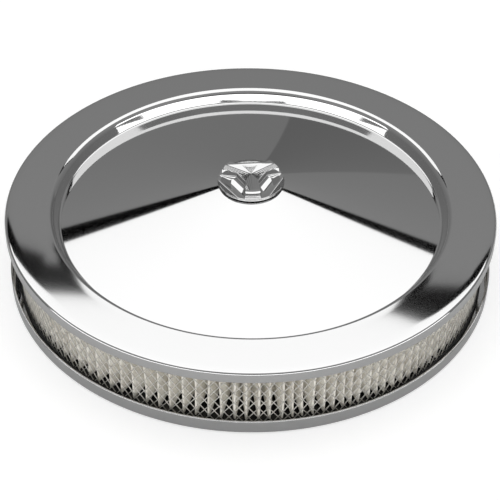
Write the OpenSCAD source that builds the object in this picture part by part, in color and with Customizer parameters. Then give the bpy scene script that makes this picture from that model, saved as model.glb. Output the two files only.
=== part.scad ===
// Round air cleaner for a carburettor: a pressed lid and base clamp a pleated paper element,
// and one centre nut on a long stud holds the whole stack down.
// Millimetres, +Z up. The origin is on the axis at the underside of the base. The front is -Y.

/* [Lid] */
// Outer diameter of the lid
lid_d = 355.6; // [320:0.1:400]
// Height of the upright skirt round the lid
skirt_h = 8.55; // [6:0.05:14]
// Radius of the bend between the skirt and the flat flange
shoulder_r = 2.5; // [1.5:0.1:4]
// Width of the flat flange from the skirt to the edge of the dish
flange_w = 31.2; // [28:0.1:34]
// Drop from the flange to the bottom of the dish
dish_depth = 8.7; // [7.5:0.05:12]
// Slope of the dish's side wall
dish_wall_a = 75; // [60:1:82]
// Radius of the bend at the dish's edge
dish_edge_r = 2.5; // [1.5:0.1:3.5]
// Radius of the bend at the dish's bottom
dish_root_r = 6; // [3:0.1:6.5]
// Radius of the gentle bend where the cone starts to rise
dish_sweep_r = 25; // [10:1:60]
// Slope of the cone that rises to the nut
cone_a = 12.5; // [8:0.1:16]
// Radius of the bend between the cone and the nut's pad
pad_bend_r = 8; // [4:0.5:12]

/* [Base] */
// How far the base's rim stands in from the lid's skirt
base_inset = 0.15; // [0:0.05:3]
// Height of the base's rim
rim_h = 11; // [8:0.1:16]
// Radius of the bend at the bottom of the rim
rim_bend_r = 2.2; // [1.5:0.1:4]
// Height of the raised deck's underside above the floor that the base rests on
deck_h = 12; // [9:0.1:18]
// Slope of the step between floor and deck
step_a = 75; // [60:1:82]
// Radius of both bends of the step
step_r = 3; // [2:0.1:4]
// Radius at which the stiffening bead runs round the deck
bead_at = 104; // [90:1:118]
// Width of the stiffening bead
bead_w = 14; // [8:0.5:20]
// Height of the stiffening bead
bead_h = 2.2; // [1:0.1:3]
// Inside diameter of the neck that fits over the carburettor
neck_d = 130.175; // [120:0.025:135]
// Height of the neck's lower edge above the ground
neck_z = 3.2; // [2:0.1:5]
// Radius of the bend where the deck turns down into the neck
neck_bend_r = 2; // [1.5:0.1:3]

/* [Sheet metal] */
// Thickness of the steel sheet
sheet_t = 0.9; // [0.7:0.05:1.2]
// Thickness of the folded edges
hem_t = 1.7; // [1.5:0.1:2.6]
// Height of the folded edges
hem_h = 2.8; // [2.2:0.1:4]

/* [Element] */
// Height of the element, floor to flange
element_h = 53.45; // [45:0.05:80]
// Gap between the base's step and the element's bore
element_fit = 0.4; // [0.3:0.1:1.5]
// How far the element's seals stand in from the lid's skirt
seal_inset = 5.8; // [2.5:0.1:10]
// Thickness of each moulded seal, with its ribs
seal_t = 3.2; // [2.4:0.1:6]
// Height of the two ribs on the face of each seal
seal_rib_h = 0.5; // [0.3:0.1:1]
// Width of each rib
seal_rib_w = 2.4; // [1.5:0.1:4]
// Number of folds in the paper
folds = 145; // [110:1:150]
// Thickness of the paper, measured round the ring
paper_t = 0.5; // [0.4:0.05:0.7]
// Gap between the folds and the mesh on either side
mesh_fit = 0.1; // [0.1:0.05:0.5]
// How far the seals stand out past the outer mesh
seal_lip = 1.4; // [0.8:0.1:4]
// Thickness of the expanded metal mesh
mesh_t = 0.6; // [0.4:0.05:1]
// Width of the mesh's strands
strand_w = 1.1; // [0.8:0.1:2]
// Diamonds round each mesh, in each of its two rows
mesh_cols = 60; // [36:1:60]
// Thickness of the clip that joins the paper's ends
clip_t = 0.4; // [0.3:0.05:0.6]
// How far the clip reaches up the paper
clip_reach = 4; // [2.5:0.1:6]

/* [Neck gasket] */
// Gap between the gasket's bore and the neck's bore
gasket_fit = 0.2; // [0.1:0.05:0.4]
// Width of the gasket's section
gasket_w = 5.6; // [4:0.1:8]
// Thickness of the gasket
gasket_t = 2.8; // [1:0.1:3.2]

/* [Centre nut] */
// Diameter of the nut's round flange
nut_d = 48.2; // [44:0.1:56]
// Thickness of the nut's flange
nut_flange_t = 2; // [1.5:0.1:3]
// Height of the nut
nut_h = 8; // [7.5:0.1:12]
// Radius out to the ends of the three arms
arm_reach = 21.3; // [18:0.1:21.8]
// Width of each arm where the fillets end
arm_w = 10; // [8:0.1:11]
// How much wider an arm is at its end
arm_flare = 1; // [0:0.1:2]
// Radius of the finger pockets between the arms
pocket_r = 12; // [9:0.5:14]
// How far the pockets dip below the flange's edge
pocket_dip = 0.8; // [0:0.1:1.2]
// How square the foot of the pockets' walls is; 2 is a quarter of an ellipse
pocket_square = 3.2; // [2:0.1:4]
// Slope of the dished top
top_slope = 5; // [2:0.5:7]
// Size of the bevel at the end of each arm
tip_bevel = 1; // [0.5:0.1:1.5]
// How far the first arm stands turned from the front when the nut is tight
arm_turn = 4; // [-60:1:60]
// Grooves along each arm
flutes = 5; // [3:2:7]
// Depth of the grooves
flute_d = 0.25; // [0.1:0.05:0.3]
// Diameter of the sealing washer
washer_d = 40; // [20:0.5:43]
// Thickness of the sealing washer
washer_t = 0.8; // [0.5:0.1:1.6]
// Width of the flat pad round the lid's hole, past the washer's edge
pad_margin = 2.5; // [0.5:0.5:4]

/* [Stud] */
// Outside diameter of the thread
stud_d = 6.35; // [6:0.05:8]
// Diameter of the plain shank between the threads
shank_d = 5.5; // [4.6:0.1:5.8]
// Height of the stud's lower end
stud_z = 24; // [20:1:34]
// Length of the lower thread
lower_thread = 12.7; // [8:0.1:16]
// Length of the upper thread
upper_thread = 25.4; // [16:0.1:27]
// Bevel at each end of the stud
stud_bevel = 0.7; // [0.4:0.1:1]
// Radial gap between the thread and the nut
thread_fit = 0.05; // [0.02:0.01:0.1]
// Radial gap between the stud and the holes in lid and washer
hole_fit = 0.4; // [0.3:0.1:0.8]
// Metal left over the stud's blind hole
cap_t = 1; // [0.8:0.1:2]
// Gap between the stud's top and the end of the blind hole
stud_gap = 0.4; // [0.3:0.1:1]

/* [Hidden] */

// Steps in a quarter turn of a bend, and the facets of round cutters
bend_steps = 6;
$fn = 96;
// Length by which cutters run past what they cut
past = 1;

lid_r = lid_d / 2;
base_r = lid_r - base_inset;
neck_r = neck_d / 2;
stud_r = stud_d / 2;
nut_r = nut_d / 2;
washer_r = washer_d / 2;

// Heights of the stack
floor_z = sheet_t;
lid_under_z = floor_z + element_h;
flange_z = lid_under_z + sheet_t;
skirt_z = flange_z - skirt_h;

// Points on an arc about c from angle a0 to a1
function arc(c, r, a0, a1) =
    let (n = max(2, ceil(abs(a1 - a0) / 90 * bend_steps)))
    [for (i = [0:n]) let (a = a0 + (a1 - a0) * i / n) [c[0] + r * cos(a), c[1] + r * sin(a)]];

// All points of a list but the first
function rest(list) = [for (i = [1:len(list) - 1]) list[i]];

// The list in the opposite order
function back(list) = [for (i = [len(list) - 1:-1:0]) list[i]];

// Lid: the edge of the dish, the foot of its wall and the centre of the bend at its bottom
dish_r = lid_r - flange_w;
edge_centre = [dish_r, flange_z - dish_edge_r];
wall_dir = 90 + dish_wall_a;
wall_drop = dish_depth - (dish_edge_r + dish_root_r) * (1 - cos(dish_wall_a));
wall_top = edge_centre + dish_edge_r * [cos(wall_dir), sin(wall_dir)];
wall_foot = wall_top - [wall_drop / tan(dish_wall_a), wall_drop];
root_centre = wall_foot + dish_root_r * [cos(wall_dir), sin(wall_dir)];
sweep_centre = root_centre + [0, dish_sweep_r - dish_root_r];
cone_foot = sweep_centre - dish_sweep_r * [sin(cone_a), cos(cone_a)];
pad_r = washer_r + pad_margin;
pad_z = cone_foot[1] + (cone_foot[0] - pad_r - pad_bend_r * sin(cone_a)) * tan(cone_a)
    + pad_bend_r * (1 - cos(cone_a));

// Lid surface from the skirt to the hole, at depth o below the outer face
function lid_line(o, hole_r) = concat(
    arc([lid_r - shoulder_r, flange_z - shoulder_r], shoulder_r - o, 0, 90),
    arc(edge_centre, dish_edge_r - o, 90, wall_dir),
    arc(root_centre, dish_root_r + o, wall_dir + 180, 270),
    rest(arc(sweep_centre, dish_sweep_r + o, 270, 270 - cone_a)),
    arc([pad_r, pad_z - pad_bend_r], pad_bend_r - o, 90 - cone_a, 90),
    [[hole_r, pad_z - o]]);

// Round end of a folded edge, and the slant where the fold ends. dir is 1 for an edge that ends
// at the top and -1 for one that ends at the bottom
function hem(r, z, dir) = concat(
    [[r - sheet_t, z - dir * hem_h], [r - hem_t, z - dir * (hem_h - hem_t + sheet_t)]],
    [for (p = arc([0, 0], hem_t / 2, 180, 0)) [r - hem_t / 2 + p[0], z + dir * (p[1] - hem_t / 2)]]);

module lid() {
    color("gainsboro")
    rotate_extrude()
    polygon(concat(
        back(lid_line(sheet_t, stud_r + hole_fit)),
        hem(lid_r, skirt_z, -1),
        lid_line(0, stud_r + hole_fit)));
}

// Base: the step stands just inside the element, which it centres
step_dir = 270 - step_a;
mesh_in_r = dish_r + sheet_t + element_fit;
step_foot_r = mesh_in_r - element_fit - step_r + sheet_t;
step_rise = deck_h - 2 * step_r * (1 - cos(step_a));
step_foot = [step_foot_r, step_r] + step_r * [cos(step_dir), sin(step_dir)];
step_top = step_foot + [-step_rise / tan(step_a), step_rise];
deck_centre = step_top + step_r * [cos(step_dir), sin(step_dir)];
deck_bend = step_r;

// Height of the bead above the deck at radius r, a raised cosine
function bead(r) = bead_h * (1 + cos(360 * (r - bead_at) / bead_w)) / 2;
bead_steps = 12;

// Base surface from the rim to the neck, at height o above the underside of the sheet
function base_line(o) = concat(
    arc([base_r - rim_bend_r, rim_bend_r], rim_bend_r - o, 0, -90),
    arc([step_foot_r, step_r], step_r - o, 270, step_dir),
    arc(deck_centre, deck_bend + o, step_dir - 180, 90),
    [for (i = [0:bead_steps]) let (r = bead_at + bead_w * (0.5 - i / bead_steps))
        [r, deck_h + bead(r) + o]],
    arc([neck_r + sheet_t + neck_bend_r, deck_h - neck_bend_r], neck_bend_r + o, 90, 180),
    [[neck_r + sheet_t - o, neck_z]]);

module base() {
    color("gainsboro")
    rotate_extrude()
    polygon(concat(
        back(base_line(sheet_t)),
        hem(base_r, rim_h, 1),
        base_line(0)));
}

module neck_gasket() {
    bore_r = neck_r + gasket_fit;
    bevel = gasket_t / 6;
    color("dimgray")
    rotate_extrude()
    polygon([
        [bore_r, neck_z], [bore_r, neck_z - gasket_t + bevel], [bore_r + bevel, neck_z - gasket_t],
        [bore_r + gasket_w - bevel, neck_z - gasket_t], [bore_r + gasket_w, neck_z - gasket_t + bevel],
        [bore_r + gasket_w, neck_z - bevel], [bore_r + gasket_w - bevel, neck_z]]);
}

// Element: radii and heights of mesh, paper and seals
seal_r = lid_r - seal_inset;
mesh_out_r = seal_r - seal_lip;
ridge_r = mesh_out_r - mesh_t - mesh_fit;
valley_r = mesh_in_r + mesh_t + mesh_fit;
media_z = floor_z + seal_t;
media_h = element_h - 2 * seal_t;
fold_a = 360 / folds;
seam_a = 90;

// Point at radius r, moved round the ring by the length s from angle a
function ring_point(r, a, s = 0) =
    let (t = a + s / r * 180 / PI)
    [r * cos(t), r * sin(t)];

// How far the paper's inner fold is held out at the seam, where the clip goes round it
function tuck(i) = i == 0 ? clip_t + paper_t : 0;

// One face of the folded paper: wide is the half width of the outer folds, narrow of the inner
// ones, and drop and lift are how far they lie from the ring's edges
function fold_face(wide, drop, narrow, lift) = [
    for (i = [0:folds - 1], p = [
        ring_point(valley_r + lift + tuck(i), seam_a + i * fold_a, -narrow),
        ring_point(valley_r + lift + tuck(i), seam_a + i * fold_a, narrow),
        ring_point(ridge_r - drop, seam_a + (i + 0.5) * fold_a, -wide),
        ring_point(ridge_r - drop, seam_a + (i + 0.5) * fold_a, wide)]) p];

// Half widths of the folds on their convex and hollow sides
fold_out = 0.75;
fold_in = fold_out - paper_t;

module filter_media() {
    outside = fold_face(fold_out, 0, fold_in, paper_t);
    inside = fold_face(fold_in, paper_t, fold_out, 0);
    n = len(outside);
    color("wheat")
    translate([0, 0, media_z])
    linear_extrude(media_h)
    polygon(concat(outside, inside), [[for (i = [0:n - 1]) i], [for (i = [0:n - 1]) n + i]]);
}

// A metal strip folded over the two ends of the paper at the seam, on the bore side
module media_clip() {
    tip_r = valley_r + tuck(0);
    spread = (ridge_r * PI / folds - fold_in - fold_out) / (ridge_r - paper_t - tip_r);
    gap = paper_t / 10;
    function leg(o, reach) = [
        [tip_r - o, fold_out + o], [tip_r + reach, fold_out + o + spread * reach]];
    function mirrored(list) = [for (p = back(list)) [p[0], -p[1]]];
    color("silver")
    rotate([0, 0, seam_a])
    translate([0, 0, media_z])
    linear_extrude(media_h)
    polygon(concat(
        leg(gap + clip_t, clip_reach), back(leg(gap, clip_reach)),
        mirrored(back(leg(gap, clip_reach))), mirrored(leg(gap + clip_t, clip_reach))));
}

// A ring of expanded metal with two staggered rows of diamond gaps
module diamond_mesh(r) {
    row_h = (media_h - strand_w) / 3;
    half_w = PI * (r + mesh_t / 2) / mesh_cols - strand_w / 2;
    half_h = row_h - strand_w / 2;
    difference() {
        rotate_extrude()
        translate([r, media_z])
        square([mesh_t, media_h]);
        for (row = [0:1], col = [0:mesh_cols - 1])
            rotate([0, 0, (col + row / 2) * 360 / mesh_cols])
            translate([r - past, 0, media_z + strand_w / 2 + row_h * (row + 1)])
            rotate([90, 0, 90])
            linear_extrude(mesh_t + 2 * past)
            polygon([[half_w, 0], [0, half_h], [-half_w, 0], [0, -half_h]]);
    }
}

module outer_mesh() {
    color("darkgray") diamond_mesh(mesh_out_r - mesh_t);
}

module inner_mesh() {
    color("darkgray") diamond_mesh(mesh_in_r);
}

// A moulded end ring. Its two ribs press on the sheet metal; dir is the way they face
module seal_ring(z, dir) {
    body_t = seal_t - seal_rib_h;
    width = seal_r - mesh_in_r;
    function rib(at) = [
        for (i = [0:bend_steps]) let (a = 180 - 180 * i / bend_steps)
            [at + seal_rib_w / 2 * cos(a), body_t + seal_rib_h * sin(a)]];
    section = concat(
        [[mesh_in_r, 0], [mesh_in_r, body_t]],
        rib(mesh_in_r + width / 4),
        rib(seal_r - width / 4),
        arc([seal_r - body_t / 2, body_t / 2], body_t / 2, 90, -90));
    rotate_extrude()
    polygon([for (p = section) [p[0], z + dir * p[1]]]);
}

module top_seal() {
    color("black") seal_ring(lid_under_z - seal_t, 1);
}

module bottom_seal() {
    color("black") seal_ring(media_z, -1);
}

// Nut and stud heights
nut_z = pad_z + washer_t;
nut_top = nut_z + nut_h;
flange_top = nut_z + nut_flange_t;
dish_drop = arm_reach * tan(top_slope) / 2;
hole_end = nut_top - dish_drop - cap_t;
stud_top = hole_end - stud_gap;
shank_r = shank_d / 2;

module centre_stud() {
    low_end = stud_z + lower_thread;
    high_start = stud_top - upper_thread;
    run = stud_r - shank_r;
    color("silver")
    rotate_extrude()
    polygon([
        [0, stud_z], [stud_r - stud_bevel, stud_z], [stud_r, stud_z + stud_bevel],
        [stud_r, low_end], [shank_r, low_end + run],
        [shank_r, high_start - run], [stud_r, high_start],
        [stud_r, stud_top - stud_bevel], [stud_r - stud_bevel, stud_top], [0, stud_top]]);
}

module nut_washer() {
    color("ivory")
    translate([0, 0, pad_z])
    difference() {
        cylinder(r = washer_r, h = washer_t);
        translate([0, 0, -past]) cylinder(r = stud_r + hole_fit, h = washer_t + 2 * past);
    }
}

// Plan of the three arms: straight flared sides joined by round pockets
arm_half = arm_w / 2;
pocket_centre = (arm_half + pocket_r) / sin(60);
pocket_x = pocket_centre * cos(60);
arm_end = arm_reach + past;
end_half = arm_half + arm_flare / 2 * (arm_end - pocket_x) / (arm_reach - pocket_x);
star = [for (k = [0:2], p = concat(
    [[arm_end, -end_half], [arm_end, end_half], [pocket_x, arm_half]],
    [for (q = arc([0, 0], pocket_r, 270, 210)) q + [pocket_x, pocket_centre * sin(60)]]))
    [p[0] * cos(120 * k) - p[1] * sin(120 * k), p[0] * sin(120 * k) + p[1] * cos(120 * k)]];

// Hub that flares out into the flange: a squared quarter of an ellipse in section, dipped between
// hub and rim so that the pockets are hollow
hub_r = pocket_centre - pocket_r;
flange_round = nut_flange_t / 3;
flare_r = nut_r - flange_round;
flare_steps = 14;

module nut_body() {
    flare_h = nut_h - nut_flange_t - dish_drop;
    rotate_extrude()
    polygon(concat(
        [[0, nut_z], [nut_r - flange_round, nut_z]],
        arc([nut_r - flange_round, nut_z + flange_round], flange_round, -90, 0),
        arc([nut_r - flange_round, flange_top - flange_round], flange_round, 0, 90),
        [for (i = [1:flare_steps]) let (a = 90 * i / flare_steps, in = pow(sin(a), 2 / pocket_square))
            [flare_r - (flare_r - hub_r) * in,
             flange_top + flare_h * (1 - pow(cos(a), 2 / pocket_square)) - pocket_dip * sin(180 * in)]],
        [[0, flange_top + flare_h]]));
}

module nut_arms() {
    intersection() {
        translate([0, 0, nut_z + past]) linear_extrude(nut_h) polygon(star);
        union() {
            translate([0, 0, nut_z]) cylinder(r = arm_reach, h = nut_h - tip_bevel);
            translate([0, 0, nut_top - tip_bevel])
                cylinder(r1 = arm_reach, r2 = arm_reach - tip_bevel, h = tip_bevel);
        }
    }
}

// Hollow over the arms: three planes that fall to the centre, one between each pair of arms
module nut_dish() {
    size = 3 * nut_r;
    translate([0, 0, nut_top - dish_drop])
    intersection_for (k = [0:2])
        rotate([0, 0, 60 + 120 * k])
        rotate([0, -top_slope, 0])
        translate([-size / 2, -size / 2, 0])
        cube(size);
}

// Shallow grooves along each arm, which fan out towards the hub
module nut_flutes() {
    pitch = (arm_w - 2 * flute_d) / (flutes + 1);
    for (k = [0:2], i = [0:flutes - 1])
        rotate([0, 0, 120 * k])
        translate([0, (i - (flutes - 1) / 2) * pitch, nut_top - dish_drop])
        rotate([0, -atan(tan(top_slope) / 2), 0])
        rotate([90, 0, 90])
        translate([0, 0, hub_r])
        linear_extrude(arm_reach)
        polygon([[0, -flute_d], [flute_d, flute_d], [-flute_d, flute_d]]);
}

module centre_nut() {
    color("gainsboro")
    rotate([0, 0, arm_turn - 90])
    difference() {
        union() {
            nut_body();
            nut_arms();
        }
        nut_dish();
        nut_flutes();
        translate([0, 0, nut_z - past]) cylinder(r = stud_r + thread_fit, h = hole_end - nut_z + past);
    }
}

lid();
base();
neck_gasket();
filter_media();
media_clip();
outer_mesh();
inner_mesh();
top_seal();
bottom_seal();
centre_stud();
nut_washer();
centre_nut();
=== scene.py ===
"""Looks of the round chrome air cleaner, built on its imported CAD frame.

Metres, +Z up, origin on the axis at the underside of the base, the front towards -Y.
Sizes are written in millimetres, as in the CAD source, and turned to metres in the meshes.
"""
import math

import bpy
import numpy as np
from mathutils import Matrix, Vector


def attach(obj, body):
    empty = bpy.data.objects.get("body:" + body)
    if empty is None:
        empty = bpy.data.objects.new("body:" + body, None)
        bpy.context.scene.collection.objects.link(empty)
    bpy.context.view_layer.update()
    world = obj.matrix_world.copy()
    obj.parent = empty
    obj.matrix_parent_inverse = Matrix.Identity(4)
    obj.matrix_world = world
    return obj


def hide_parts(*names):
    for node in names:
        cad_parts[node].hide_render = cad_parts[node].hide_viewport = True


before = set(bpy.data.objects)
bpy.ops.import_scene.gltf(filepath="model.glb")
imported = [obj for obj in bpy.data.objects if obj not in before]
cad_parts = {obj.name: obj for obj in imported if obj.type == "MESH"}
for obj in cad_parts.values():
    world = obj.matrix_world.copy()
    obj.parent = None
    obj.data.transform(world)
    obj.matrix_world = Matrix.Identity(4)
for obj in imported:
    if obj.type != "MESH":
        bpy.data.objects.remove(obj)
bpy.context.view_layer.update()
scene = bpy.context.scene

# Camera. It looks down at the front edge from about a metre away, rolled by half a degree.
# The photograph is cropped a little off the lens's axis, which the small shift repeats.
MM = 0.001
look_down = math.radians(39.237)
camera_roll = math.radians(0.5637)
camera_far = 1020.08 * MM
target = Vector((0, 0, 30 * MM))
into = Vector((0, math.cos(look_down), -math.sin(look_down)))
level = Vector((1, 0, 0))
upright = Vector((0, math.sin(look_down), math.cos(look_down)))
across = level * math.cos(camera_roll) + upright * math.sin(camera_roll)
upward = upright * math.cos(camera_roll) - level * math.sin(camera_roll)
eye = target - into * camera_far

lens = bpy.data.cameras.new("camera")
lens.sensor_width = 36
lens.lens = 99.27
lens.shift_x = -0.0011
lens.shift_y = -0.0473
lens.clip_start = 0.05
lens.clip_end = 60
camera = bpy.data.objects.new("camera", lens)
scene.collection.objects.link(camera)
turn = Matrix((across, upward, -into)).transposed()
camera.matrix_world = Matrix.Translation(eye) @ turn.to_4x4()
scene.camera = camera
scene.view_settings.view_transform = "Standard"

# Studio. A white floor under a large white diffuser with a black frame, and grey cloth round
# the set. Cloth, frame, boards and screens are out of every picture.


def linear(code):
    """Colour from an sRGB hex code: each channel c is c / 12.92 up to 0.04045, and above
    it ((c + 0.055) / 1.055) to the power 2.4."""
    channels = [int(code[i:i + 2], 16) / 255 for i in (1, 3, 5)]
    return [c / 12.92 if c <= 0.04045 else ((c + 0.055) / 1.055) ** 2.4 for c in channels] + [1]


def add(tree, kind, values=None, links=None, **options):
    """One node: options are its own settings, values its free inputs, links what feeds the rest."""
    node = tree.nodes.new(kind)
    for name, value in options.items():
        setattr(node, name, value)
    for name, value in (values or {}).items():
        node.inputs[name].default_value = value
    for name, source in (links or {}).items():
        tree.links.new(source, node.inputs[name])
    return node


def new_material(name):
    """An empty material and its node tree."""
    made = bpy.data.materials.new(name)
    made.use_nodes = True
    made.node_tree.nodes.clear()
    return made, made.node_tree


def glowing(name, colour, strength):
    """A plain emitting material."""
    made, tree = new_material(name)
    glow = add(tree, "ShaderNodeEmission", {"Color": linear(colour), "Strength": strength})
    add(tree, "ShaderNodeOutputMaterial", links={"Surface": glow.outputs[0]})
    return made


def mesh_object(name, points, faces, material, sharp=None):
    """A smooth mesh object from arrays of points in millimetres and of four-cornered faces.
    Edges that turn by more than the angle sharp, in degrees, stay sharp."""
    made = bpy.data.meshes.new(name)
    points = np.asarray(points, float).reshape(-1, 3) * MM
    faces = np.asarray(faces, np.int32).reshape(-1, 4)
    made.vertices.add(len(points))
    made.vertices.foreach_set("co", points.ravel())
    made.loops.add(faces.size)
    made.loops.foreach_set("vertex_index", faces.ravel())
    made.polygons.add(len(faces))
    made.polygons.foreach_set("loop_start", np.arange(0, faces.size, 4, dtype=np.int32))
    made.update(calc_edges=True)
    made.polygons.foreach_set("use_smooth", np.ones(len(faces), bool))
    if sharp:
        made.set_sharp_from_angle(angle=math.radians(sharp))
    made.materials.append(material)
    piece = bpy.data.objects.new(name, made)
    scene.collection.objects.link(piece)
    return piece


def card(name, corners, material, camera=False, diffuse=True, shadow=True, glossy=True):
    """A flat four-cornered stage card, which by default no camera ray sees."""
    piece = mesh_object(name, corners, [[0, 1, 2, 3]], material)
    piece.visible_camera = camera
    piece.visible_diffuse = diffuse
    piece.visible_shadow = shadow
    piece.visible_glossy = glossy
    return piece


def standing(name, x0, x1, y, z0, z1, material, **seen_by):
    """A card that stands across the set at y, between two x and two heights."""
    return card(name, [(x0, y, z0), (x1, y, z0), (x1, y, z1), (x0, y, z1)], material, **seen_by)


def graded(name, colour, axis, places, levels):
    """An emitting cloth whose strength runs between two levels along x, y or z."""
    made, tree = new_material(name)
    place = add(tree, "ShaderNodeTexCoord")
    parts = add(tree, "ShaderNodeSeparateXYZ", links={0: place.outputs["Object"]})
    level = add(tree, "ShaderNodeMapRange",
                {"From Min": places[0] * MM, "From Max": places[1] * MM,
                 "To Min": levels[0], "To Max": levels[1]}, {"Value": parts.outputs[axis]})
    glow = add(tree, "ShaderNodeEmission", {"Color": linear(colour)},
               {"Strength": level.outputs[0]})
    add(tree, "ShaderNodeOutputMaterial", links={"Surface": glow.outputs[0]})
    return made


# The diffuser hangs level above the object. Its far edge is a straight black frame, wider at
# either side, which the lid mirrors as a dark line. The cloth dims towards there.
panel_z = 2500
edge_y = 2560
edge_slant = 0.064
half_span = 3600
near_y = -1000
near_half = 900
panel_glow = graded("white diffuser cloth", "#FFFFFF", "Y", (edge_y, 1000), (1.45, 1.56))
frame_black = glowing("black velvet on the frame", "#000000", 0.0)


def edge_at(x, extra=0):
    """y of the diffuser's far edge at x."""
    return edge_y + extra - edge_slant * x


card("diffuser", [(-near_half, near_y, panel_z), (-half_span, edge_at(-half_span), panel_z),
                  (half_span, edge_at(half_span), panel_z), (near_half, near_y, panel_z)],
     panel_glow)
for name, x0, x1, w0, w1 in (("frame_left", -half_span, -1150, 420, 390),
                             ("frame_left_ramp", -1150, -700, 390, 190),
                             ("frame_middle", -800, 800, 150, 140),
                             ("frame_right_ramp", 800, 1150, 190, 270),
                             ("frame_right", 1150, half_span, 270, 240)):
    card(name, [(x0, edge_at(x0), panel_z), (x0, edge_at(x0, w0), panel_z),
                (x1, edge_at(x1, w1), panel_z), (x1, edge_at(x1), panel_z)], frame_black)

# A strip of black velvet narrows the cloth on the right, between the lid's middle and its side.
card("velvet_strip", [(430, edge_at(430), panel_z - 5), (640, edge_at(640, -90), panel_z - 5),
                      (1000, edge_at(1000, -50), panel_z - 5), (1150, edge_at(1150), panel_z - 5)],
     frame_black)

# Grey cloth stands round the set, lighter towards its top, and a darker stand behind to the
# right.
wall_r = 4200
wall_z = 5400
wall_top_z = 12000
wall_glow = graded("grey studio cloth", "#FFFFFF", "Z", (600, 3600), (0.215, 0.31))
wall_turn = np.linspace(0, 2 * np.pi, 49)[:-1]
wall_ring = np.stack([wall_r * np.cos(wall_turn), wall_r * np.sin(wall_turn)], 1)
wall_i = np.arange(48)
wall_next = (wall_i + 1) % 48
for name, z0, z1 in (("studio_cloth", -10, wall_z), ("upper_cloth", wall_z, wall_top_z)):
    wall = mesh_object(name, np.concatenate([np.c_[wall_ring, np.full(48, float(z0))],
                                             np.c_[wall_ring, np.full(48, float(z1))]]),
                       np.stack([wall_i, wall_i + 48, wall_next + 48, wall_next], 1), wall_glow)
    wall.visible_camera = False
    wall.visible_shadow = False
    wall.visible_diffuse = z0 < wall_z
stand_glow = graded("dark grey cloth", "#FFFFFF", "Z", (600, 1500), (0.15, 0.2))
standing("dark_stand", 260, 2600, 3300, 0, 1500, stand_glow, diffuse=False, shadow=False)

# In front a low board lights the paper, unseen by the chrome. The chrome sees a grey screen
# hung from the diffuser's near edge, a low light under it that reaches down at the left, and
# a dark screen.
board_glow = glowing("white reflector board", "#FFFFFF", 2.8)
screen_glow = glowing("grey screen behind the camera", "#FFFFFF", 0.33)
dark_glow = glowing("dark screen under the camera", "#FFFFFF", 0.15)
light_glow = glowing("bright cloth of the low light", "#FFFFFF", 2.4)
standing("front_board", -1900, 1300, -2300, 0, 1500, board_glow, glossy=False)
standing("hanging_screen", -3600, 3600, near_y - 10, 900, panel_z, screen_glow, diffuse=False,
         shadow=False)
standing("dark_screen", -2400, 2400, -2150, 100, 1750, dark_glow, diffuse=False, shadow=False)
light_turn = np.radians(np.linspace(-175, -5, 18))
light_ring = 1600 * np.stack([np.cos(light_turn), np.sin(light_turn)], 1)
light_i = np.arange(17)
low_light = mesh_object("low_light", np.concatenate([np.c_[light_ring, np.full(18, 290.0)],
                                                     np.c_[light_ring, np.full(18, 680.0)]]),
                        np.stack([light_i, light_i + 1, light_i + 19, light_i + 18], 1),
                        light_glow)
low_light.visible_camera = False
low_light.visible_diffuse = False
low_light.visible_shadow = False

# The floor is pale card. Camera and glass rays see it a little lighter, so that open floor
# is pure white while the shadow under the object stays.
floor_paint, tree = new_material("white card floor")
path = add(tree, "ShaderNodeLightPath")
seen = add(tree, "ShaderNodeMath", links={0: path.outputs["Is Camera Ray"],
                                          1: path.outputs["Is Transmission Ray"]},
           operation="MAXIMUM")
lift = add(tree, "ShaderNodeMath", {1: 0.55}, {0: seen.outputs[0]}, operation="MULTIPLY")
paint = add(tree, "ShaderNodeBsdfDiffuse", {"Color": linear("#C6C6C6")})
lamp = add(tree, "ShaderNodeEmission", links={"Strength": lift.outputs[0]})
both = add(tree, "ShaderNodeAddShader", links={0: paint.outputs[0], 1: lamp.outputs[0]})
add(tree, "ShaderNodeOutputMaterial", links={"Surface": both.outputs[0]})
floor_half = 12000
floor_z = -0.3
floor = card("floor", [(-floor_half, -floor_half, floor_z), (floor_half, -floor_half, floor_z),
                       (floor_half, floor_half, floor_z), (-floor_half, floor_half, floor_z)],
             floor_paint, camera=True)

# The world is white where the camera, glass or metal sees it, and lights softly.
world = bpy.data.worlds.new("world")
world.use_nodes = True
scene.world = world
tree = world.node_tree
tree.nodes.clear()
path = add(tree, "ShaderNodeLightPath")
seen = add(tree, "ShaderNodeMath", links={0: path.outputs["Is Camera Ray"],
                                          1: path.outputs["Is Glossy Ray"]},
           operation="MAXIMUM")
seen = add(tree, "ShaderNodeMath", links={0: seen.outputs[0],
                                          1: path.outputs["Is Transmission Ray"]},
           operation="MAXIMUM")
level_of = add(tree, "ShaderNodeMapRange", {"To Min": 0.8, "To Max": 1.0},
               {"Value": seen.outputs[0]})
sky = add(tree, "ShaderNodeBackground", {"Color": linear("#FFFFFF")},
          {"Strength": level_of.outputs[0]})
add(tree, "ShaderNodeOutputWorld", links={"Surface": sky.outputs[0]})

# Lid. Pressed steel sheet 0.9 mm thick, copper, nickel and chrome plated after pressing and
# polishing. The down-turned skirt ends in a folded edge, and a wide dish with a shallow
# cone rises to the flat pad under the nut.


def arc(centre, radius, start, end, side=1, steps=12):
    """Points c + R (cos a, sin a) for a from start to end degrees, each with the outward
    normal side * (cos a, sin a), as rows r, z, nr, nz."""
    a = np.radians(np.linspace(start, end, steps + 1))
    ring = np.stack([np.cos(a), np.sin(a)], 1)
    return np.concatenate([np.asarray(centre) + radius * ring, side * ring], 1)


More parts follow.
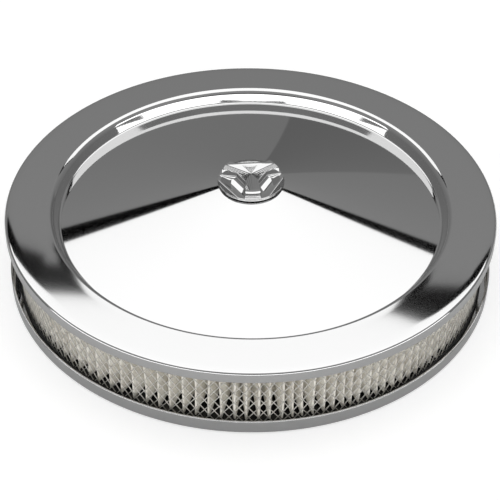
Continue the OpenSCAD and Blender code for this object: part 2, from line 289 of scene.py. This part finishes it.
def turned(name, profile, material, steps=600):
    """A closed profile carried round the axis: point (r, z) becomes
    (r cos t, r sin t, z), and its normal turns with it. The profile runs with the solid on
    its left and has rows r, z, nr, nz."""
    profile = np.asarray(profile, float)
    count = len(profile)
    t = np.linspace(0, 2 * np.pi, steps, endpoint=False)[:, None]
    r, z, nr, nz = profile.T
    points = np.stack([r * np.cos(t), r * np.sin(t), np.broadcast_to(z, (steps, count))], -1)
    normals = np.stack([nr * np.cos(t), nr * np.sin(t), np.broadcast_to(nz, (steps, count))], -1)
    i, j = np.mgrid[:steps, :count]
    after_i, after_j = (i + 1) % steps, (j + 1) % count
    faces = np.stack([i * count + j, after_i * count + j, after_i * count + after_j,
                      i * count + after_j], -1).reshape(-1, 4)
    # two profile points in one place make a sharp corner, and no face lies between them
    step = np.roll(profile[:, :2], -1, 0) - profile[:, :2]
    keep = np.hypot(*step.T)[None, :] > 1e-9
    faces = faces[np.broadcast_to(keep, (steps, count)).ravel()]
    piece = mesh_object(name, points, faces, material)
    piece.data.normals_split_custom_set_from_vertices(normals.reshape(-1, 3))
    return piece


def corner(r, z, before, after):
    """A sharp corner of a profile: one place with the normal angles before and after it."""
    b, a = math.radians(before), math.radians(after)
    return [[r, z, math.cos(b), math.sin(b)], [r, z, math.cos(a), math.sin(a)]]


chrome, tree = new_material("bright chrome plate on polished steel")
# Chrome over bright nickel mirrors the studio as a neutral grey. The sheet under it is
# pressed, so the reflections swim a little.
place = add(tree, "ShaderNodeTexCoord")
swim = add(tree, "ShaderNodeTexNoise", {"Scale": 9.0, "Detail": 1.0, "Roughness": 0.4},
           {"Vector": place.outputs["Object"]})
ripple = add(tree, "ShaderNodeBump", {"Strength": 0.05, "Distance": 0.0006},
             {"Height": swim.outputs["Fac"]})
plate = add(tree, "ShaderNodeBsdfPrincipled",
            {"Base Color": linear("#D3D3D3"), "Metallic": 1.0, "Roughness": 0.05},
            {"Normal": ripple.outputs[0]})
add(tree, "ShaderNodeOutputMaterial", links={"Surface": plate.outputs[0]})

sheet = 0.9
element_h = 53.45
lid_r = 177.8
flange_top = 2 * sheet + element_h
skirt_z = flange_top - 8.55
shoulder_r = 2.5
edge_r = 3.2
brow_r = 7
brow_slope = 32
root_r = 1.6
dish_slope = 66
cone_slope = 12.5
pad_bend = 8
pad_r = 22.5
hole_r = 3.575
hem_t = 1.7
hem_h = 2.8
dish_r = lid_r - 31.2
wall_turned = 90 + dish_slope
wall_dir = np.array([math.cos(math.radians(wall_turned)), math.sin(math.radians(wall_turned))])
dish_depth = 9.7
edge_at_c = np.array([dish_r, flange_top - edge_r])
brow_way = np.array([-math.sin(math.radians(brow_slope)), math.cos(math.radians(brow_slope))])
brow_at = edge_at_c + (edge_r - brow_r) * brow_way
wall_top = brow_at + brow_r * wall_dir
wall_drop = (wall_top[1] - (flange_top - dish_depth)
             - root_r * (1 - math.cos(math.radians(dish_slope))))
wall_foot = wall_top - np.array([wall_drop / math.tan(math.radians(dish_slope)), wall_drop])
root_at = wall_foot + root_r * wall_dir
cone_foot = root_at - root_r * np.array([math.sin(math.radians(cone_slope)),
                                         math.cos(math.radians(cone_slope))])
pad_z = (cone_foot[1]
         + (cone_foot[0] - pad_r - pad_bend * math.sin(math.radians(cone_slope)))
         * math.tan(math.radians(cone_slope))
         + pad_bend * (1 - math.cos(math.radians(cone_slope))))


def crown(r):
    """Height and slope angle of the flange at radius r. Pressing leaves it a little crowned:
    it slopes outwards by k (r - r0) squared near the rim and by m (r1 - r) near the dish, and
    the height is the integral of that."""
    rim_k, rim_from, lip_m, lip_from = 0.09, 169, 0.16, 151.5
    out = np.maximum(r - rim_from, 0)
    lip = np.maximum(lip_from - r, 0)
    return (flange_top - math.radians(1) * (rim_k * out ** 3 / 3 - lip_m * lip ** 2 / 2),
            rim_k * out ** 2 + lip_m * lip)


def lid_line(depth):
    """The lid's face at a depth under its outside, from the skirt to the hole."""
    r = np.linspace(lid_r - shoulder_r + 0.17, dish_r + 0.1, 26)
    z, slope = crown(r)
    lean = np.radians(slope)
    flange = np.stack([r - depth * np.sin(lean), z - depth * np.cos(lean),
                       np.sin(lean), np.cos(lean)], 1)
    rim_c = (lid_r - shoulder_r, z[0] - shoulder_r * math.cos(lean[0]))
    lip_c = (dish_r, z[-1] - edge_r * math.cos(lean[-1]))
    return np.concatenate([
        arc(rim_c, shoulder_r - depth, 0, 90 - slope[0], 1, 14)[:-1],
        flange,
        arc(lip_c, edge_r - depth, 90 - slope[-1], 90 + brow_slope, 1, 8)[1:],
        arc(brow_at, brow_r - depth, 90 + brow_slope, wall_turned, 1, 8)[1:],
        arc(root_at, root_r + depth, wall_turned + 180, 270 - cone_slope, -1, 12),
        arc((pad_r, pad_z - pad_bend), pad_bend - depth, 90 - cone_slope, 90, 1, 4)])


def flipped(profile):
    """The same line walked the other way, with its normals turned round."""
    return profile[::-1] * np.array([1, 1, -1, -1])


def hem(r, z):
    """The folded edge at radius r whose round end lies at height z, walked from the inside to
    the outside of a bottom edge."""
    slant = 225
    return np.concatenate([
        corner(r - sheet, z + hem_h, 180, slant),
        corner(r - hem_t, z + hem_h - hem_t + sheet, slant, 180),
        arc((r - hem_t / 2, z + hem_t / 2), hem_t / 2, 180, 360, 1, 10)])


lid_profile = np.concatenate([
    lid_line(0),
    corner(hole_r, pad_z, 90, 180),
    corner(hole_r, pad_z - sheet, 180, 270),
    flipped(lid_line(sheet)),
    hem(lid_r, skirt_z)])
lid = turned("lid_shell", lid_profile, chrome, 560)
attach(lid, "housing")
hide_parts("lid")

# Base. The same plated sheet, pressed shallow: a turned-up rim with a folded edge, a flat outer
# floor that carries the element, a step up to a deck with one stiffening bead, and a neck
# drawn down over the carburettor's air horn.
base_r = lid_r - 0.15
rim_h = 11
rim_bend = 2.2
deck_h = 12
step_r = 3
step_slope = 75
neck_r = 130.175 / 2
neck_z = 3.2
neck_bend = 2
bead_at, bead_w, bead_h = 104, 14, 2.2
mesh_in_r = dish_r + sheet + 0.4
step_dir = 270 - step_slope
foot_r = mesh_in_r - 0.4 - step_r + sheet
step_way = np.array([math.cos(math.radians(step_dir)), math.sin(math.radians(step_dir))])
step_rise = deck_h - 2 * step_r * (1 - math.cos(math.radians(step_slope)))
step_top = (np.array([foot_r, step_r]) + step_r * step_way
            + np.array([-step_rise / math.tan(math.radians(step_slope)), step_rise]))
deck_at = step_top + step_r * step_way


def base_line(lift):
    """The base's face at a height over the underside of the sheet, from rim to neck. The
    bead is a raised cosine, h (1 + cos(2 pi (r - r0) / w)) / 2."""
    r = bead_at + bead_w * np.linspace(0.5, -0.5, 17)
    phase = 2 * np.pi * (r - bead_at) / bead_w
    slope = -bead_h / 2 * np.sin(phase) * 2 * np.pi / bead_w
    size = np.hypot(slope, 1)
    bead = np.stack([r, deck_h + lift + bead_h * (1 + np.cos(phase)) / 2, -slope / size,
                     1 / size], 1)
    return np.concatenate([
        arc((base_r - rim_bend, rim_bend), rim_bend - lift, 0, -90, -1, 10),
        arc((foot_r, step_r), step_r - lift, 270, step_dir, -1, 8),
        arc(deck_at, step_r + lift, step_dir - 180, 90, 1, 8),
        bead,
        arc((neck_r + sheet + neck_bend, deck_h - neck_bend), neck_bend + lift, 90, 180, 1, 8)])


base_profile = np.concatenate([
    base_line(sheet),
    corner(neck_r, neck_z, 180, 270),
    corner(neck_r + sheet, neck_z, 270, 0),
    flipped(base_line(0)),
    hem(base_r, -rim_h)[::-1] * np.array([1, -1, 1, -1])])
base = turned("base_shell", base_profile, chrome, 600)
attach(base, "housing")
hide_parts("base")

# Neck gasket. A flat ring of black nitrile rubber, moulded, which seals the neck on the carburettor.
gasket_rubber, tree = new_material("moulded black nitrile rubber")
# Moulded rubber is a soft near-black with a faint grain.
place = add(tree, "ShaderNodeTexCoord")
grain = add(tree, "ShaderNodeTexNoise", {"Scale": 900.0, "Detail": 2.0},
            {"Vector": place.outputs["Object"]})
dimple = add(tree, "ShaderNodeBump", {"Strength": 0.15, "Distance": 0.0002},
             {"Height": grain.outputs["Fac"]})
gum = add(tree, "ShaderNodeBsdfPrincipled",
          {"Base Color": linear("#1B1B1C"), "Roughness": 0.6},
          {"Normal": dimple.outputs[0]})
add(tree, "ShaderNodeOutputMaterial", links={"Surface": gum.outputs[0]})
gasket_in = neck_r + 0.2
gasket_out = gasket_in + 5.6
gasket_t = 2.8
gasket_round = 0.45


def rounded(r0, r1, z0, z1, radius, steps=5):
    """A rectangle in section with round corners, walked with the solid on its left."""
    return np.concatenate([
        arc((r1 - radius, z0 + radius), radius, -90, 0, 1, steps),
        arc((r1 - radius, z1 - radius), radius, 0, 90, 1, steps),
        arc((r0 + radius, z1 - radius), radius, 90, 180, 1, steps),
        arc((r0 + radius, z0 + radius), radius, 180, 270, 1, steps)])


gasket = turned("neck_gasket_ring", rounded(gasket_in, gasket_out, neck_z - gasket_t, neck_z,
                                            gasket_round), gasket_rubber, 360)
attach(gasket, "housing")
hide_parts("neck_gasket")

# Seals. Two rings of soft black plastisol, poured in a mould, that hold the ends of the paper and
# the meshes. Two low ribs on each face press on the lid's flange and the base's floor.
plastisol, tree = new_material("poured black plastisol")
# Cured plastisol is a deep black with a soft sheen.
skin = add(tree, "ShaderNodeBsdfPrincipled",
           {"Base Color": linear("#161617"), "Roughness": 0.45})
add(tree, "ShaderNodeOutputMaterial", links={"Surface": skin.outputs[0]})
seal_r = lid_r - 5.8
seal_t = 3.2
rib_h = 0.5
rib_w = 2.4
media_z = sheet + seal_t
media_h = element_h - 2 * seal_t


def seal_profile(z, way):
    """Section of a seal whose inner face is at height z and whose ribs point up or down."""
    body = seal_t - rib_h
    ring_w = seal_r - mesh_in_r
    a = np.radians(np.linspace(0, 180, 9))

    def rib(at):
        return np.stack([at + rib_w / 2 * np.cos(a), body + rib_h * np.sin(a),
                         rib_h * np.cos(a), rib_w / 2 * np.sin(a)], 1)

    outer = arc((seal_r - body / 2, body / 2), body / 2, -90, 90, 1, 8)
    flat = np.concatenate([outer, rib(seal_r - ring_w / 4), rib(mesh_in_r + ring_w / 4),
                           corner(mesh_in_r, body, 90, 180), corner(mesh_in_r, 0, 180, 270)])
    flat[:, 2:] /= np.hypot(flat[:, 2], flat[:, 3])[:, None]
    if way < 0:
        flat = flat[::-1] * np.array([1, -1, 1, -1])
    flat[:, 1] += z
    return flat


for name, z, way in (("top_seal", flange_top - sheet - seal_t, 1), ("bottom_seal", media_z, -1)):
    seal = turned(name + "_ring", seal_profile(z, way), plastisol, 480)
    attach(seal, "housing")
    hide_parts(name)

# Paper. One long strip of resin-treated filter paper, folded 145 times by machine and closed to a
# ring. Hands and handling leave the folds a little uneven.
paper, tree = new_material("resin-treated cellulose filter paper")
# Filter paper is off-white and dull, with a fibrous grain and darker stains of resin. Its lower
# end is painted near-black: partly black plastisol crept up it, and partly painted shade deep in
# the folds, so the dark reaches higher in the valleys than on the ridges.
place = add(tree, "ShaderNodeTexCoord")
fibre = add(tree, "ShaderNodeTexNoise", {"Scale": 1400.0, "Detail": 3.0},
            {"Vector": place.outputs["Object"]})
stain = add(tree, "ShaderNodeTexNoise", {"Scale": 60.0, "Detail": 2.0},
            {"Vector": place.outputs["Object"]})
tone = add(tree, "ShaderNodeValToRGB", links={"Fac": stain.outputs["Fac"]})
tone.color_ramp.elements[0].position = 0.35
tone.color_ramp.elements[0].color = linear("#DFDAD0")
tone.color_ramp.elements[1].position = 0.65
tone.color_ramp.elements[1].color = linear("#F0EDE5")
rough_up = add(tree, "ShaderNodeBump", {"Strength": 0.3, "Distance": 0.0002},
               {"Height": fibre.outputs["Fac"]})
flat_place = add(tree, "ShaderNodeVectorMath", {1: (1, 1, 0)}, {0: place.outputs["Object"]},
                 operation="MULTIPLY")
out_by = add(tree, "ShaderNodeVectorMath", links={0: flat_place.outputs[0]}, operation="LENGTH")
# Plastisol and painted shade: the paper is painted near-black below a height that falls from 8.5 mm in
# the valleys to 5.2 mm at the ridges.
plastisol_and_shade_top = add(tree, "ShaderNodeMapRange",
            {"From Min": 158 * MM, "From Max": 170 * MM, "To Min": 8.5 * MM, "To Max": 5.2 * MM},
            {"Value": out_by.outputs["Value"]})
high = add(tree, "ShaderNodeSeparateXYZ", links={0: place.outputs["Object"]})
above = add(tree, "ShaderNodeMath", links={0: high.outputs["Z"], 1: plastisol_and_shade_top.outputs[0]},
            operation="SUBTRACT")
clear_of_dark = add(tree, "ShaderNodeMapRange", {"From Min": -0.4 * MM, "From Max": 0.4 * MM},
          {"Value": above.outputs[0]})
plastisol_and_painted_shade = add(tree, "ShaderNodeMix", {"A": linear("#1A1A1A")}, {"B": tone.outputs["Color"],
             "Factor": clear_of_dark.outputs[0]}, data_type="RGBA")
pulp = add(tree, "ShaderNodeBsdfPrincipled", {"Roughness": 0.85, "Specular IOR Level": 0.25},
           {"Base Color": plastisol_and_painted_shade.outputs["Result"], "Normal": rough_up.outputs[0]})
add(tree, "ShaderNodeOutputMaterial", links={"Surface": pulp.outputs[0]})

folds = 145
paper_t = 0.5
mesh_t = 0.6
mesh_out_r = seal_r - 1.4
ridge_r = mesh_out_r - mesh_t - 0.1
valley_r = mesh_in_r + mesh_t + 0.1
fold_half = 0.55
tuck = 0.9
rng = np.random.default_rng(7)


def paper_line():
    """Middle line of the folds as (arc angle, radius) stations: each fold is a round ridge at
    the outside, a straight flank, a round valley at the bore and a flank back. The spacing
    of the folds swells and shrinks round the ring by two cosines and a small random share."""
    i = np.arange(folds)
    u = i / folds
    width = (1 + 0.1 * np.cos(2 * np.pi * (u - 0.38)) + 0.17 * np.cos(8 * np.pi * (u - 0.42))
             + rng.uniform(-0.1, 0.1, folds))
    start = np.cumsum(width) - width[0]
    start = (start - start[0]) / width.sum() * 2 * np.pi + np.pi / 2
    pitch = width / width.sum() * 2 * np.pi
    bend = np.radians(np.linspace(-90, 90, 5))
    rows = []
    for at, share in ((0, -1), (0.5, 1)):
        r_mid = (ridge_r - paper_t / 2 - fold_half) if share > 0 else (valley_r + paper_t / 2 + fold_half)
        rows.append(np.stack([
            start[:, None] + at * pitch[:, None] + fold_half * np.sin(bend) / r_mid,
            np.full((folds, 5), r_mid) + share * fold_half * np.cos(bend)], -1))
    rows[0][0, :, 1] += tuck
    return np.concatenate(rows, 1).reshape(-1, 2)


line = paper_line()
count = len(line)
levels = 14
height = np.linspace(0, 1, levels)
# each fold leans and bows a little on its way up, by smooth random amounts
lean = rng.normal(0, 0.0022, (folds, 3)).repeat(10, 0)
lean[:10] = 0
bow = (lean[:, :1] * (height - 0.5) + lean[:, 1:2] * np.sin(np.pi * height)
       + 0.4 * lean[:, 2:] * np.sin(2 * np.pi * height))
angle = line[:, :1] + bow
radius = np.broadcast_to(line[:, 1:], angle.shape)
plan = np.stack([radius * np.cos(angle), radius * np.sin(angle)], -1)
ahead = np.roll(plan, -1, 0) - np.roll(plan, 1, 0)
side_way = np.stack([ahead[..., 1], -ahead[..., 0]], -1)
side_way /= np.linalg.norm(side_way, axis=-1, keepdims=True)
z_of = np.broadcast_to(media_z + media_h * height, angle.shape)
face_a = np.concatenate([plan + side_way * paper_t / 2, z_of[..., None]], -1)
face_b = np.concatenate([plan - side_way * paper_t / 2, z_of[..., None]], -1)
ring = np.concatenate([face_a, face_b[:, ::-1]], 1)
i, j = np.mgrid[:count, :2 * levels]
after_i, after_j = (i + 1) % count, (j + 1) % (2 * levels)
faces = np.stack([i * 2 * levels + j, after_i * 2 * levels + j,
                  after_i * 2 * levels + after_j, i * 2 * levels + after_j], -1)
pleats = mesh_object("paper_ring", ring, faces, paper, 60)
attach(pleats, "housing")
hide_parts("filter_media")

# Wire meshes. Expanded aluminium sheet: slit, pulled out into diamonds and rolled to a ring. One ring
# keeps the folds in at the outside and one at the bore. Their ends are set in the seals.
mesh_metal, tree = new_material("expanded aluminium mesh")
# Mill aluminium under its dull oxide skin, a pale grey with soft glints on the cut strands.
strand_skin = add(tree, "ShaderNodeBsdfPrincipled",
                  {"Base Color": linear("#C9C7C1"), "Metallic": 0.5, "Roughness": 0.45})
add(tree, "ShaderNodeOutputMaterial", links={"Surface": strand_skin.outputs[0]})
diamond_w = 6.45
row_h = 4.45
strand_w = 0.5
strand_t = 0.3


def expanded_ring(name, r):
    """Strands from each node to the two above it. Node (c, k) is at the angle
    (c + k / 2) of a column and at the height k of a row; a strand is a closed bar of four
    sides whose middle is narrower than its ends."""
    columns = round(2 * np.pi * r / diamond_w)
    rows = math.ceil(media_h / row_h)
    low = media_z + media_h / 2 - rows * row_h / 2
    c, k, lean_way = [v.ravel() for v in np.meshgrid(np.arange(columns), np.arange(rows),
                                                     [-0.5, 0.5], indexing="ij")]
    a0 = (c + k % 2 / 2) * diamond_w
    scale = 2 * np.pi * r / (columns * diamond_w)
    a1 = a0 + lean_way * diamond_w
    z0, z1 = low + k * row_h, low + (k + 1) * row_h
    run = np.stack([a1 - a0, z1 - z0], 1)
    run /= np.linalg.norm(run, axis=1, keepdims=True)
    cross = np.stack([run[:, 1], -run[:, 0]], 1)
    stations = []
    for share, wide in ((0, 1.0), (0.5, 0.72), (1, 1.0)):
        along = a0 + (a1 - a0) * share
        z = z0 + (z1 - z0) * share
        for way, out in ((-1, 0.5), (1, 0.5), (1, -0.5), (-1, -0.5)):
            u = (along + way * wide * strand_w / 2 * cross[:, 0]) * scale / r
            rr = r + out * strand_t + way * lean_way * 0.3
            stations.append(np.stack([rr * np.cos(u), rr * np.sin(u),
                                      z + way * wide * strand_w / 2 * cross[:, 1]], -1))
    points = np.stack(stations, 1)
    n = len(points)
    bar = []
    for s in (0, 4):
        for q in range(4):
            p = (q + 1) % 4
            bar.append([s + q, s + p, s + 4 + p, s + 4 + q])
    bar += [[3, 2, 1, 0], [8, 9, 10, 11]]
    faces = (np.array(bar)[None] + 12 * np.arange(n)[:, None, None]).reshape(-1, 4)
    piece = mesh_object(name + "_ring", points, faces[:, ::-1], mesh_metal, 40)
    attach(piece, "housing")
    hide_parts(name)
    return piece


expanded_ring("outer_mesh", mesh_out_r - mesh_t / 2)
expanded_ring("inner_mesh", mesh_in_r + mesh_t / 2)

# Paper clip. A strip of tinned steel, folded and pressed over the paper's two ends at the back.
tinned, tree = new_material("pressed tinned steel strip")
# Tinplate is a soft bright grey.
strip = add(tree, "ShaderNodeBsdfPrincipled",
            {"Base Color": linear("#C9C9C7"), "Metallic": 1.0, "Roughness": 0.32})
add(tree, "ShaderNodeOutputMaterial", links={"Surface": strip.outputs[0]})
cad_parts["media_clip"].data.materials.clear()
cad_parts["media_clip"].data.materials.append(tinned)

# Stud. A 1/4-20 stud of zinc-plated steel with rolled threads at both ends. Its lower end screws
# into the carburettor and its upper end into the nut.
zinc, tree = new_material("zinc-plated rolled steel thread")
# Clear zinc plate is a satin grey with a trace of yellow.
satin = add(tree, "ShaderNodeBsdfPrincipled",
            {"Base Color": linear("#C6C5BE"), "Metallic": 1.0, "Roughness": 0.3})
add(tree, "ShaderNodeOutputMaterial", links={"Surface": satin.outputs[0]})
stud_r, shank_r = 6.35 / 2, 5.5 / 2
pitch = 1.27
thread_depth = 0.4
washer_t = 0.8
nut_z = pad_z + washer_t
nut_top = nut_z + 8
dish_drop = 21.3 * math.tan(math.radians(5)) / 2
stud_z = 24
stud_top = nut_top - dish_drop - 1 - 0.4
stud_bevel = 0.7


def threaded_rod():
    """Radius at angle t and height z: inside a thread it is the stud's radius less the
    groove, whose depth follows a rounded triangle wave of z / pitch - t / 2 pi; outside it
    is the plain shank. Grooves fade out over one turn, and the ends are bevelled."""
    turn_steps = 40
    z = np.arange(stud_z, stud_top, pitch / 9)
    z = np.append(z, stud_top)
    t = np.linspace(0, 2 * np.pi, turn_steps, endpoint=False)
    phase = z[None, :] / pitch - t[:, None] / (2 * np.pi)
    wave = np.abs(2 * (phase - np.floor(phase)) - 1)
    groove = thread_depth * np.clip((wave - 0.12) / 0.76, 0, 1)
    low = np.clip((stud_z + 12.7 - z) / pitch, 0, 1)
    high = np.clip((z - (stud_top - 25.4)) / pitch, 0, 1)
    in_thread = np.maximum(low, high)[None, :]
    r = shank_r + in_thread * (stud_r - shank_r) - in_thread * groove
    bevel = np.minimum(z - stud_z, stud_top - z)
    r = np.minimum(r, stud_r - stud_bevel + np.maximum(bevel, 0)[None, :])
    points = np.stack([r * np.cos(t[:, None]), r * np.sin(t[:, None]),
                       np.broadcast_to(z, r.shape)], -1)
    cap = np.full((turn_steps, 1, 3), 0.0)
    low_cap, high_cap = cap.copy(), cap.copy()
    low_cap[..., 2], high_cap[..., 2] = z[0], z[-1]
    points = np.concatenate([low_cap, points, high_cap], 1)
    n = points.shape[1]
    i, j = np.mgrid[:turn_steps, :n - 1]
    after = (i + 1) % turn_steps
    return points, np.stack([i * n + j, after * n + j, after * n + j + 1, i * n + j + 1], -1)


stud = mesh_object("threaded_stud", *threaded_rod(), zinc, 50)
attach(stud, "housing")
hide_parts("centre_stud")

# Washer. A thin ring of pale nylon, stamped from sheet, that keeps the nut from marking the chrome.
nylon, tree = new_material("stamped natural nylon")
# Natural nylon is a milky off-white and lets a little light in.
milk = add(tree, "ShaderNodeBsdfPrincipled",
           {"Base Color": linear("#DAD6CA"), "Roughness": 0.42, "Subsurface Weight": 0.15,
            "Subsurface Scale": 0.001})
add(tree, "ShaderNodeOutputMaterial", links={"Surface": milk.outputs[0]})
washer = turned("nylon_washer", rounded(hole_r, 20, pad_z, pad_z + washer_t, 0.15, 3), nylon, 240)
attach(washer, "washer")
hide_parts("nut_washer")

# Centre nut. Die-cast zinc, polished and chrome plated: a thin round flange, three flat-ended arms with
# hollowed finger pockets between them, a shallow dished top and fine fanned grooves.
nut_r = 24.1
nut_flange_t = 2
arm_reach = 21.3
arm_half = 5
arm_flare = 0.5
pocket_r = 12
pocket_dip = 0.8
pocket_square = 3.2
top_slope = 5
tip_bevel = 1
arm_turn = 4 - 90
flange_round = nut_flange_t / 3
bore_r = stud_r + 0.05
hole_end = nut_top - dish_drop - 1
pocket_c = (arm_half + pocket_r) / math.sin(math.radians(60))
pocket_x = pocket_c * math.cos(math.radians(60))
end_half = arm_half + arm_flare


def star_outline():
    """Plan of the three arms as corner-to-corner pieces: half of an arm's end, its side, the
    round pocket, the next side and half end, three times round."""
    tip = math.atan2(end_half, arm_reach)
    a = np.linspace(0, tip, 7)
    end = arm_reach * np.stack([np.cos(a), np.sin(a)], 1)
    side_end = np.array([pocket_x, arm_half])
    share = np.linspace(0, 1, 12)[:, None]
    side = end[-1] + (side_end - end[-1]) * share
    b = np.radians(np.linspace(270, 210, 14))
    pocket = (np.array([pocket_x, pocket_c * math.sin(math.radians(60))])
              + pocket_r * np.stack([np.cos(b), np.sin(b)], 1))
    half = np.concatenate([end, side[1:], pocket[1:]])
    mirror = math.radians(60)
    flip = np.array([[math.cos(2 * mirror), math.sin(2 * mirror)],
                     [math.sin(2 * mirror), -math.cos(2 * mirror)]])
    third = np.concatenate([half, (half @ flip.T)[::-1][1:-1]])
    turns = [np.array([[math.cos(q), -math.sin(q)], [math.sin(q), math.cos(q)]])
             for q in np.radians([0, 120, 240])]
    return np.concatenate([third @ m.T for m in turns])


def top_height(plan):
    """Height of the dished top: the highest of three planes that rise from the centre
    between the arms, and no higher than the nut."""
    ways = np.radians([60, 180, 300])
    rise = plan[..., :1] * np.cos(ways) + plan[..., 1:] * np.sin(ways)
    return np.minimum(nut_top - dish_drop + math.tan(math.radians(top_slope)) * rise.max(-1),
                      nut_top)


def nut_surface():
    """Closed rings from the centre of the top to the centre of the blind hole. On top a ring
    is the star outline shrunk to a share. Down the sides it moves from the star to the
    flange's circle along a squared quarter of an ellipse, r = rs + (rf - rs)(1 - cos a ^ q)
    and z = top - h sin a ^ q with q = 2 / squareness, less a dip of half a sine wave. Then
    come the flange's edge, its underside and the bore."""
    star = star_outline()
    reach = np.linalg.norm(star, axis=1)
    way = star / reach[:, None]
    tip_share = np.clip((reach - arm_reach + 0.6) / 0.6, 0, 1)
    rings = []
    soft = 0.3
    for share in np.append(np.linspace(0, 0.97, 25), [0.993, 1]):
        plan = way * ((reach - soft - tip_share * (tip_bevel - soft)) * share)[:, None]
        rings.append(np.concatenate([plan, top_height(plan)[:, None]], 1))
    edge_z = rings[-1][:, 2]
    for a in np.radians([18, 36, 54, 72, 90]):
        r = reach - soft + soft * math.sin(a)
        z = edge_z - soft * (1 - math.cos(a))
        r_tip = reach - tip_bevel * (1 - a / (math.pi / 2))
        z_tip = edge_z - tip_bevel * a / (math.pi / 2)
        r = r + tip_share * (r_tip - r)
        z = z + tip_share * (z_tip - z)
        rings.append(np.concatenate([way * r[:, None], z[:, None]], 1))
    side_top = rings[-1][:, 2]
    flange_z = nut_z + nut_flange_t
    flare = nut_r - flange_round
    dip = pocket_dip * (flare - reach) / (flare - reach.min())
    for a in np.radians(np.linspace(0, 90, 30)[1:]):
        out = 1 - max(math.cos(a), 1e-9) ** (2 / pocket_square)
        down = math.sin(a) ** (2 / pocket_square)
        r = reach + (flare - reach) * out
        z = side_top - (side_top - flange_z) * down - dip * math.sin(math.pi * out)
        rings.append(np.concatenate([way * r[:, None], z[:, None]], 1))
    rim = np.concatenate([
        arc((flare, flange_z - flange_round), flange_round, 90, 0, 1, 6)[1:],
        arc((flare, nut_z + flange_round), flange_round, 0, -90, 1, 6)])
    hole = [[bore_r + 0.4, nut_z], [bore_r, nut_z + 0.4], [bore_r, hole_end], [0.01, hole_end]]
    for r, z in np.concatenate([rim[:, :2], hole]):
        rings.append(np.concatenate([way * r, np.full((len(way), 1), z)], 1))
    grid = np.stack(rings, 1)
    n, m = grid.shape[:2]
    i, j = np.mgrid[:n, :m - 1]
    after = (i + 1) % n
    faces = np.stack([i * m + j, i * m + j + 1, after * m + j + 1, after * m + j], -1)
    return grid, faces.reshape(-1, 4)


nut_plate, tree = new_material("chrome plate on die-cast zinc")
# The same chrome, over a casting whose top is finely grooved towards each arm's end.
# A groove leans the surface to its two sides by a sine wave.
groove_map = add(tree, "ShaderNodeUVMap", uv_map="grooves")
parts = add(tree, "ShaderNodeSeparateXYZ", links={"Vector": groove_map.outputs[0]})
wave = add(tree, "ShaderNodeMath", {1: 2 * math.pi}, {0: parts.outputs["X"]},
           operation="MULTIPLY")
wave = add(tree, "ShaderNodeMath", links={0: wave.outputs[0]}, operation="SINE")
cut = add(tree, "ShaderNodeMath", links={0: wave.outputs[0], 1: parts.outputs["Y"]},
          operation="MULTIPLY")
side_of = add(tree, "ShaderNodeAttribute", attribute_name="groove_side")
lean_by = add(tree, "ShaderNodeVectorMath",
              links={0: side_of.outputs["Vector"], "Scale": cut.outputs[0]}, operation="SCALE")
lean_by = add(tree, "ShaderNodeVectorTransform", links={0: lean_by.outputs[0]},
              vector_type="VECTOR", convert_from="OBJECT", convert_to="WORLD")
facing = add(tree, "ShaderNodeNewGeometry")
leant = add(tree, "ShaderNodeVectorMath",
            links={0: facing.outputs["Normal"], 1: lean_by.outputs[0]}, operation="ADD")
leant = add(tree, "ShaderNodeVectorMath", links={0: leant.outputs[0]}, operation="NORMALIZE")
plate = add(tree, "ShaderNodeBsdfPrincipled",
            {"Base Color": linear("#D3D3D3"), "Metallic": 1.0, "Roughness": 0.05},
            {"Normal": leant.outputs[0]})
add(tree, "ShaderNodeOutputMaterial", links={"Surface": plate.outputs[0]})

grid, faces = nut_surface()
local = grid.reshape(-1, 3)
spin = math.radians(arm_turn)
placed = np.stack([local[:, 0] * math.cos(spin) - local[:, 1] * math.sin(spin),
                   local[:, 0] * math.sin(spin) + local[:, 1] * math.cos(spin), local[:, 2]], 1)
nut = mesh_object("three_arm_nut", placed, faces, nut_plate, 24)
# Groove map: across is the angle about a point 34 mm out along the nearest arm, in grooves
# of 3.4 degrees; up is how deep they are, nothing beside and below the top and on the
# facet at the back, which shows none.
fan_far, groove_step, groove_span = 34, 3.4, 32
bearing = np.degrees(np.arctan2(local[:, 1], local[:, 0]))
from_arm = np.radians((bearing + 60) % 120 - 60)
r_local = np.hypot(local[:, 0], local[:, 1])
fan = np.degrees(np.arctan2(r_local * np.sin(from_arm), fan_far - r_local * np.cos(from_arm)))
deep = ((np.abs(fan) < groove_span) * (local[:, 2] > top_height(local[:, :2]) - 0.01)
        * (np.abs(bearing) < 119) * (r_local > 0.5) * 1.0)
corners = np.empty(len(nut.data.loops), np.int32)
nut.data.loops.foreach_get("vertex_index", corners)
arm_way = np.radians(bearing) - from_arm + spin
from_fan = placed[:, :2] - fan_far * np.stack([np.cos(arm_way), np.sin(arm_way)], 1)
from_fan /= np.linalg.norm(from_fan, axis=1, keepdims=True)
groove_lean = 0.4
groove_side = groove_lean * np.stack([-from_fan[:, 1], from_fan[:, 0], 0 * local[:, 2]], 1)
side_list = nut.data.attributes.new("groove_side", "FLOAT_VECTOR", "POINT")
side_list.data.foreach_set("vector", groove_side.ravel())
grooves = nut.data.uv_layers.new(name="grooves")
grooves.data.foreach_set("uv", np.stack([fan / groove_step, deep], 1)[corners].ravel())
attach(nut, "nut")
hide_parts("centre_nut")

bpy.context.view_layer.update()
